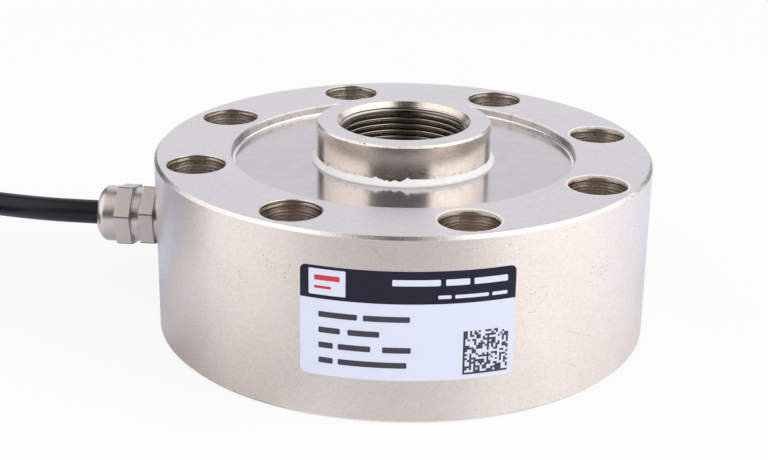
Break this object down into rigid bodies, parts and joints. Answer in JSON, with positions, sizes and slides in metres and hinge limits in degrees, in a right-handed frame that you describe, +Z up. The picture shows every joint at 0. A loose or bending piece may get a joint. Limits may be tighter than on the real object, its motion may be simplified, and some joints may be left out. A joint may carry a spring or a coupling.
{
  "type": "spoke type load cell",
  "caption": "Low round spoke type load cell: a drilled rim and a raised threaded hub joined by inner spokes, with sealed cover plates, a cable gland and a coiled signal cable.",
  "frame": {"origin": "centre of the base face, on the load axis", "axes": "+Z up along the load axis through the threaded bore, -X along the cable gland"},
  "size_m": [0.3395, 0.1542, 0.0643],
  "materials": {
    "nickel_steel": "satin nickel plate over turned steel, lightly pitted",
    "polished_cover": "polished sheet steel, mirror-like",
    "white_sealant": "cured white sealant, semi-matt",
    "gauge_foil": "amber film with a foil grid",
    "circuit_board": "green solder mask",
    "chip_ceramic": "dark ceramic chips",
    "flat_ribbon": "amber flat ribbon",
    "bridge_wire": "white flat wire",
    "core_insulation": "coloured core insulation",
    "gland_nickel": "nickel plated brass, machined",
    "gland_rubber": "black rubber",
    "gland_cage": "natural nylon",
    "side_label": "printed film, pale field with a navy band",
    "cable_jacket": "black jacket with a soft sheen",
    "tie_band": "black hook and loop band",
    "lead_red": "red insulation",
    "lead_black": "black insulation",
    "lead_green": "green insulation",
    "lead_white": "white insulation",
    "shield_braid": "tinned shield braid"
  },
  "bodies": {
    "root": {"spoke_body": "nickel_steel", "top_cover": "polished_cover", "bottom_cover": "polished_cover", "top_seal_bead": "white_sealant", "bottom_seal_bead": "white_sealant", "compensation_board": "circuit_board", "trim_resistors": "chip_ceramic", "gauge_ribbons": "flat_ribbon", "bridge_wires": "bridge_wire", "cable_cores": "core_insulation", "gland_washer": "gland_nickel", "gland_body": "gland_nickel", "gland_claw": "gland_cage", "gland_seal": "gland_rubber", "gland_nut": "gland_nickel", "side_label": "side_label", "cable": "cable_jacket", "cable_coil": "cable_jacket", "coil_tie": "tie_band", "lead_red": "lead_red", "lead_black": "lead_black", "lead_green": "lead_green", "lead_white": "lead_white", "lead_shield": "shield_braid", "strain_gauge_1": "gauge_foil", "strain_gauge_2": "gauge_foil", "strain_gauge_3": "gauge_foil", "strain_gauge_4": "gauge_foil", "strain_gauge_5": "gauge_foil", "strain_gauge_6": "gauge_foil", "strain_gauge_7": "gauge_foil", "strain_gauge_8": "gauge_foil", "solder_terminal_1": "circuit_board", "solder_terminal_2": "circuit_board", "solder_terminal_3": "circuit_board"}
  },
  "joints": []
}
